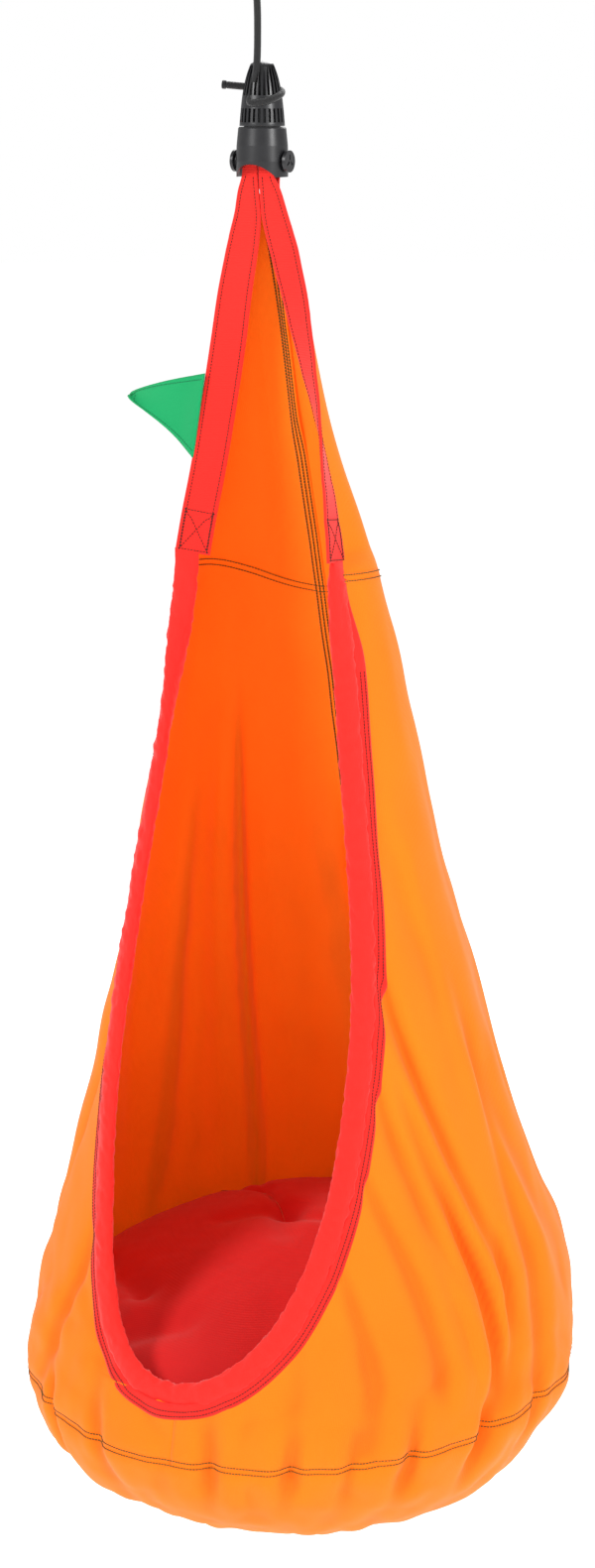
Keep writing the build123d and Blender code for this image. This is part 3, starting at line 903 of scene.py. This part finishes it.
def make_rim():
    line, at = rim_line()
    n, mouth, wide, thick = rim_frames(line)
    around = 36
    angle = np.linspace(0, 2 * math.pi, around, endpoint=False)
    c, s = np.cos(angle), np.sin(angle)
    shape = np.stack([np.sign(c) * np.abs(c) ** 0.9, np.sign(s) * np.abs(s) ** 0.95], axis=1)
    ends = step_up(0, 45 * MM, at) * step_up(0, 45 * MM, at[-1] - at)
    fullness = 0.35 + 0.65 * ends
    middle = line + mouth * RIM_INSET * fullness[:, None]
    cells = (middle[:, None, :] + (wide[:, None, :] * shape[None, :, 0:1] * RIM_HALF_WIDE
             + thick[:, None, :] * shape[None, :, 1:2] * RIM_HALF_THICK * fullness[:, None, None]))
    verts = cells.reshape(-1, 3)
    ring_points = np.stack([np.repeat(at, around) * 85.0 + np.tile(angle, len(line)) * 0.5,
                            np.tile(c, len(line)) * 1.1, np.tile(s, len(line)) * 1.1], axis=1)
    pinch = np.array([noise.noise(Vector(p)) for p in ring_points])
    sharp = np.array([noise.noise(Vector(p) * 2.3 + Vector((9, 3, 4))) for p in ring_points])
    outward = unit((cells - middle[:, None, :]).reshape(-1, 3))
    verts = verts + outward * ((2.0 * MM * pinch + 1.1 * MM * sharp) * np.repeat(ends, around))[:, None]
    piece = tube("rim_padding", verts.reshape(cells.shape))
    finish_piece(piece, "nest", "rim_red", "rim_cover", "rim_foam")
    # the binding's flat hem lies on the cloth, inside and outside
    rows = slice(10, -10)
    hem_at = at[rows] - at[10]
    taper = 0.35 + 0.65 * step_up(0, 0.10, hem_at) * step_up(0, 0.10, hem_at[-1] - hem_at)
    section = [(-7.0, 3.4), (-11.0, 2.6), (-15.0, 1.9), (-19.0, 1.8), (-22.5, 1.7), (-23.8, 0.9)]

    def on_cloth(offset):
        points, normals = [], []
        for p, m, out, k in zip(line[rows], mouth[rows], n[rows], taper):
            spot, normal, _, _ = CLOTH_TREE.find_nearest(Vector(p + m * offset * MM * k))
            normal = np.array(normal)
            points.append(np.array(spot))
            normals.append(normal if normal @ out > 0 else -normal)
        return smoothed(np.array(points), 4), unit(smoothed(np.array(normals), 4))

    outer, inner = [], []
    for offset, high in section:
        points, normals = on_cloth(offset)
        rise = high * MM * (0.5 + 0.5 * taper)[:, None]
        outer.append(points + normals * rise)
        inner.append(points - normals * rise)
    hem = tube("rim_hem", np.stack(outer + inner[::-1], axis=1))
    finish_piece(hem, "nest", "rim_red")
    runs = []
    for offset in (-15.5, -20.5):
        points, normals = on_cloth(offset)
        for facing in (-1, 1):
            runs.append(((points + normals * facing * 2.0 * MM)[36:-36], (normals * facing)[36:-36]))
    finish_piece(stitches("thread_rim", runs, width=1.1 * MM), "nest", "rim_red", mat="thread_dark")


make_rim()


# ------------------------------------------------------------------ seams of the cloth
SEAM_LIFT = 0.55 * MM


def seam_line(rows, columns):
    """The cloth's points along a row or a column of its grid, their normals and the way across."""
    points, normals = grid[rows, columns], grid_out[rows, columns]
    return points, normals, unit(np.cross(normals, tangents(points)))


def seam_runs(line, offsets):
    """Lines of thread beside a seam, on both faces of it."""
    points, normals, sideways = line
    runs = []
    for offset in offsets:
        for facing in (-1, 1):
            face = normals * facing
            runs.append((points + sideways * offset + face * (CLOTH / 2 + 0.15 * MM) + face * SEAM_LIFT, face))
    return runs


def felled(name, line, half_wide, proud=0.55 * MM):
    """The folded-over cloth of a flat seam, a low band on both faces."""
    points, normals, sideways = line
    half = [(-1.0, 0.0), (-0.96, CLOTH / 2 + proud * 0.7), (-0.8, CLOTH / 2 + proud)]
    shape = half + [(0.0, CLOTH / 2 + proud * 0.8)] + [(-x, y) for x, y in reversed(half)]
    shape += [(x, -y) for x, y in reversed(shape[1:-1])]
    piece = sweep(name, points, sideways, normals, [(x * half_wide, y) for x, y in shape])
    finish_piece(piece, "nest", "shell_orange")


def make_seams():
    back = seam_line(slice(6, low_row + 1), middle_column)
    upper = seam_line(upper_row, slice(8, COLUMNS - 8))
    bottom = seam_line(low_row, slice(0, COLUMNS))
    felled("seam_back", back, 8.0 * MM)
    thread = stitches("thread_back", seam_runs(back, (-5.0 * MM, 0.0, 5.0 * MM)), width=2.3 * MM, length=3.3 * MM)
    finish_piece(thread, "nest", "shell_orange", mat="thread_olive")
    felled("seam_upper", upper, 5.5 * MM, proud=0.3 * MM)
    felled("seam_bottom", bottom, 5.0 * MM, proud=0.35 * MM)
    runs = seam_runs(upper, (-3.5 * MM, 3.5 * MM)) + seam_runs(bottom, (-3.0 * MM, 3.0 * MM))
    finish_piece(stitches("thread_seams", runs, width=1.5 * MM), "nest", "shell_orange", mat="thread_olive")


make_seams()


# ------------------------------------------------------------------ leaf
def make_leaf():
    """Two layers of cotton sewn round the edge, a rounded triangle with a slight curl."""
    base = np.array((-88.0, 9.2, -592.0)) * MM
    out_dir = unit(np.array((-0.97, 0.25, 0.0)))
    up = np.array((0.0, 0.0, 1.0))
    front = unit(np.cross(out_dir, up))
    reach, thick = 105.0 * MM, 2.4 * MM
    rows, columns = 41, 29
    front_face = np.zeros((rows, columns, 3))
    for i in range(rows):
        s = i / (rows - 1)
        # nearly straight edges to a rounded tip, the lower one slightly hollow
        end = 4.0 * math.sqrt(max(0.0, 1 - s ** 12))
        top = (44.0 * (1 - s) + 16.0 * s + 1.5 * math.sin(math.pi * s) + end) * MM
        low = (-44.0 * (1 - s) + 16.0 * s + 4.0 * math.sin(math.pi * s) - end) * MM
        for j in range(columns):
            v = j / (columns - 1)
            height = low + (top - low) * v
            curl = 7.0 * MM * s * s - 5.0 * MM * s * (2 * v - 1) ** 2 + 2.0 * MM * math.sin(5 * s + 2 * v)
            # the base slants with the strap's edge
            slant = (-9.0 * (height / (46 * MM)) - 8.0) * MM * (1 - s)
            spot = base + out_dir * (reach * s + slant) + up * height
            front_face[i, j] = spot + front * (curl * step_up(0, 0.25, s))
    points = front_face.reshape(-1, 3)
    piece = new_piece("leaf_cloth", points, grid_faces(rows, columns))
    mend(piece)
    thicken(piece, thick)
    finish_piece(piece, "nest", "leaf_green", "leaf_flag")
    a, b = np.gradient(front_face, axis=0), np.gradient(front_face, axis=1)
    normal = unit(np.cross(b.reshape(-1, 3), a.reshape(-1, 3))).reshape(front_face.shape)
    inset = 2
    loop = [(i, columns - 1 - inset) for i in range(1, rows - 3)]
    loop += [(rows - 4, columns - 1 - inset - k) for k in range(1, columns - 2 * inset - 1)]
    loop += [(i, inset) for i in range(rows - 4, 0, -1)]
    points = smoothed(np.array([front_face[i, j] for i, j in loop]), 3)
    normals = np.array([normal[i, j] for i, j in loop])
    runs = [(points + normals * k * 1.3 * MM, normals * k) for k in (-1, 1)]
    finish_piece(stitches("thread_leaf", runs, width=0.7 * MM), "nest", "leaf_green", mat="thread_green")


make_leaf()


# ------------------------------------------------------------------ cushion
CROWN_CENTRE, CROWN_R = np.array((0.0, 250.0, -2366.0)) * MM, 800.0 * MM
CUSHION_SEAM = np.array([(-263.0, 344.0), (-225.0, 312.0), (-185.0, 281.0), (-131.0, 258.0), (-69.0, 196.0),
                         (-20.0, 172.0), (60.0, 168.0), (150.0, 200.0), (230.0, 262.0)]) * MM


def crown_height(x, y):
    """The cushion's top, part of a wide ball."""
    d = CROWN_R ** 2 - (x - CROWN_CENTRE[0]) ** 2 - (y - CROWN_CENTRE[1]) ** 2
    return CROWN_CENTRE[2] + np.sqrt(np.maximum(d, 1e-6))


def line_distance(x, y, line):
    """How far places are from a line of points, seen from above."""
    best = np.full(np.shape(x), 1e9)
    for a, b in zip(line[:-1], line[1:]):
        d = b - a
        t = np.clip(((x - a[0]) * d[0] + (y - a[1]) * d[1]) / (d @ d), 0, 1)
        best = np.minimum(best, np.hypot(x - a[0] - t * d[0], y - a[1] - t * d[1]))
    return best


PINCHES = [
    # where a fold starts and ends on the cushion's top, its width and its depth
    ((-250.0, 60.0), (-150.0, -20.0), 16.0, -13.0),
    ((-235.0, 30.0), (-140.0, -60.0), 20.0, 8.0),
    ((-170.0, -110.0), (-60.0, -70.0), 18.0, -7.0),
    ((-69.0, 196.0), (-30.0, 120.0), 20.0, -7.0),
    ((-69.0, 196.0), (-130.0, 150.0), 18.0, -5.0),
    ((60.0, -120.0), (40.0, -30.0), 24.0, -6.0),
    ((200.0, 60.0), (120.0, 20.0), 22.0, -8.0),
    ((-10.0, 330.0), (0.0, 250.0), 24.0, -6.0),
    ((160.0, 300.0), (100.0, 240.0), 22.0, -6.0),
]


def crown_details(x, y):
    """The sewn channel, the pinches and the soft unevenness of the cushion's top."""
    off_seam = line_distance(x, y, CUSHION_SEAM)
    lift = -6.0 * MM * ridge(off_seam, 11 * MM) - 2.4 * MM * ridge(off_seam, 3.2 * MM)
    lift -= 9.0 * MM * ridge(np.hypot(x + 0.069, y - 0.196), 26 * MM)
    for a, b, width, size in PINCHES:
        a, b = np.array(a) * MM, np.array(b) * MM
        lift += size * MM * ridge(line_distance(x, y, np.array([a, b])), width * MM)
    points = np.stack([x, y, 0 * x], axis=-1).reshape(-1, 3)
    soft = 4.0 * MM * wobble(points, 7.0, 11.0) + 1.4 * MM * wobble(points, 21.0, 12.0)
    soft += 0.5 * MM * wobble(points, 60.0, 13.0)
    return lift + soft.reshape(np.shape(x))


def pulled_in(y):
    """The cushion's front is folded in behind the mouth."""
    return np.where(y < -0.10, -0.10 + (y + 0.10) * 0.62, y)


def make_cushion():
    """A crowned, stuffed cover that fills the nest's foot and is folded in at its front."""
    around, tops, sides = 300, 84, 60
    angle = np.linspace(-math.pi, math.pi, around, endpoint=False)
    gap = 9.0 * MM

    def wall(phi, u):
        # clear of every fold that it passes as it lifts
        smooth = shell_point(phi, u)
        lift = np.zeros(len(u))
        for rise in np.linspace(0, 30 * MM, 5):
            higher = place_of(smooth[:, 2] + rise)
            lift = np.minimum(lift, fold_height(phi, higher, shell_point(phi, higher)))
        room = gap + 7 * MM * step_up(-1.76, -1.68, smooth[:, 2])
        return smooth + shell_normal(phi, u) * (lift - room)[:, None]

    # where the crown meets the wall
    u = np.full(around, float(place_of(-1.62)))
    for _ in range(40):
        spot = wall(angle, u)
        level = crown_height(spot[:, 0], spot[:, 1]) - 16 * MM
        u = 0.5 * u + 0.5 * place_of(np.minimum(level, -1.60))
    front_limit = -0.146
    edge = wall(angle, u)
    rest = np.stack([edge[:, 0], np.maximum(edge[:, 1], front_limit)], axis=1)
    centre = np.array((0.0, 0.085))
    rows = []
    for k in range(tops):
        s = k / tops
        reach = math.sin(s * math.pi / 2) ** 0.85
        x = centre[0] + (edge[:, 0] - centre[0]) * reach
        y = centre[1] + (edge[:, 1] - centre[1]) * reach
        y = np.maximum(pulled_in(y), front_limit - 0.004)
        z = crown_height(x, y) + crown_details(x, y)
        away = np.linalg.norm(np.stack([x, y], axis=1) - rest, axis=1)
        z -= 17 * MM * np.exp(-(away / (17 * MM)) ** 1.3)
        rows.append(np.stack([x, y, z], axis=1))
    end_u = float(len(SHELL) - 1)
    for k in range(sides + 1):
        s = k / sides
        place = u + (end_u - u) * s ** 0.9
        spot = wall(angle, place)
        keep = 1 - step_up(0.0, 0.55, s)
        y = spot[:, 1]
        y = np.maximum(y * (1 - keep) + pulled_in(y) * keep, front_limit - 0.05 * s)
        z = spot[:, 2] + 4 * MM * s
        if k == 0:
            z = np.minimum(z, rows[-1][:, 2] - 3 * MM)
        rows.append(np.stack([spot[:, 0], y, z], axis=1))
    grid_c = smoothed(np.array(rows), 3)
    verts = grid_c[1:-1].reshape(-1, 3).tolist()
    faces = grid_faces(len(grid_c) - 2, around, closed=True)
    top_centre, low_centre = len(verts), len(verts) + 1
    verts.append(grid_c[1].mean(axis=0).tolist())
    verts.append(grid_c[-2].mean(axis=0).tolist())
    last = (len(grid_c) - 3) * around
    for j in range(around):
        k = (j + 1) % around
        faces.append((top_centre, k, j))
        faces.append((low_centre, last + j, last + k))
    piece = new_piece("cushion_padding", verts, faces)
    mend(piece)
    finish_piece(piece, "cushion", "cushion_red", "cushion_cover", "cushion_filling")
    # the sewn channel's thread across the crown
    line, _ = resample(np.column_stack([CUSHION_SEAM, np.zeros(len(CUSHION_SEAM))]), 4 * MM)
    line = smoothed(line, 12)[4:-4]
    z = crown_height(line[:, 0], line[:, 1]) + crown_details(line[:, 0], line[:, 1])
    line[:, 2] = z + 0.5 * MM
    normals = unit(line - CROWN_CENTRE)
    thread = stitches("thread_cushion", [(line, normals)], width=1.1 * MM)
    finish_piece(thread, "cushion", "cushion_red", mat="thread_light")


make_cushion()

# ------------------------------------------------------------------ stage
def make_stage():
    """A plain pale floor below the nest. It has no wall, so that every side can be seen."""
    floor_z, radius, around = -2.06, 30.0, 64
    turns = [2 * math.pi * k / around for k in range(around)]
    verts = [(radius * math.cos(turn), radius * math.sin(turn), floor_z) for turn in turns]
    piece = new_piece("floor", verts, [tuple(range(around))], smooth=False)
    mat, _, shader = material("floor_white")
    shader.inputs["Base Color"].default_value = (0.9, 0.9, 0.9, 1)
    shader.inputs["Emission Color"].default_value = (1, 1, 1, 1)
    shader.inputs["Emission Strength"].default_value = 0.62
    shader.inputs["Roughness"].default_value = 0.9
    shader.inputs["Specular IOR Level"].default_value = 0.1
    piece.data.materials.append(mat)


def make_world():
    """White to look at, and dimmer as a light, so that the folds keep their shade."""
    world = bpy.data.worlds.new("studio")
    world.use_nodes = True
    tree = world.node_tree
    soft = tree.nodes["Background"]
    soft.inputs["Color"].default_value = (1, 1, 1, 1)
    soft.inputs["Strength"].default_value = 0.46
    white = add(tree, "ShaderNodeBackground", Color=(1, 1, 1, 1), Strength=1.0)
    mix = add(tree, "ShaderNodeMixShader")
    seen = add(tree, "ShaderNodeLightPath")
    tree.links.new(seen.outputs["Is Camera Ray"], mix.inputs["Fac"])
    tree.links.new(soft.outputs[0], mix.inputs[1])
    tree.links.new(white.outputs[0], mix.inputs[2])
    tree.links.new(mix.outputs[0], tree.nodes["World Output"].inputs["Surface"])
    bpy.context.scene.world = world


def lamp(name, location, target, size, power, colour=(1, 1, 1)):
    data = bpy.data.lights.new(name, "AREA")
    data.shape = "DISK"
    data.size = size
    data.energy = power
    data.color = colour
    obj = bpy.data.objects.new(name, data)
    obj.location = location
    obj.rotation_euler = (Vector(target) - Vector(location)).to_track_quat("-Z", "Y").to_euler()
    bpy.context.scene.collection.objects.link(obj)


make_stage()
make_world()
lamp("key", (-1.4, -3.6, 1.5), (0, 0.05, -1.2), 1.3, 125)
lamp("side", (3.8, -0.9, 0.9), (0, 0.05, -1.0), 1.0, 105)
lamp("back", (-0.5, 2.2, 1.2), (0, 0.05, -1.0), 2.0, 50)
bpy.context.scene.view_settings.view_transform = "Standard"
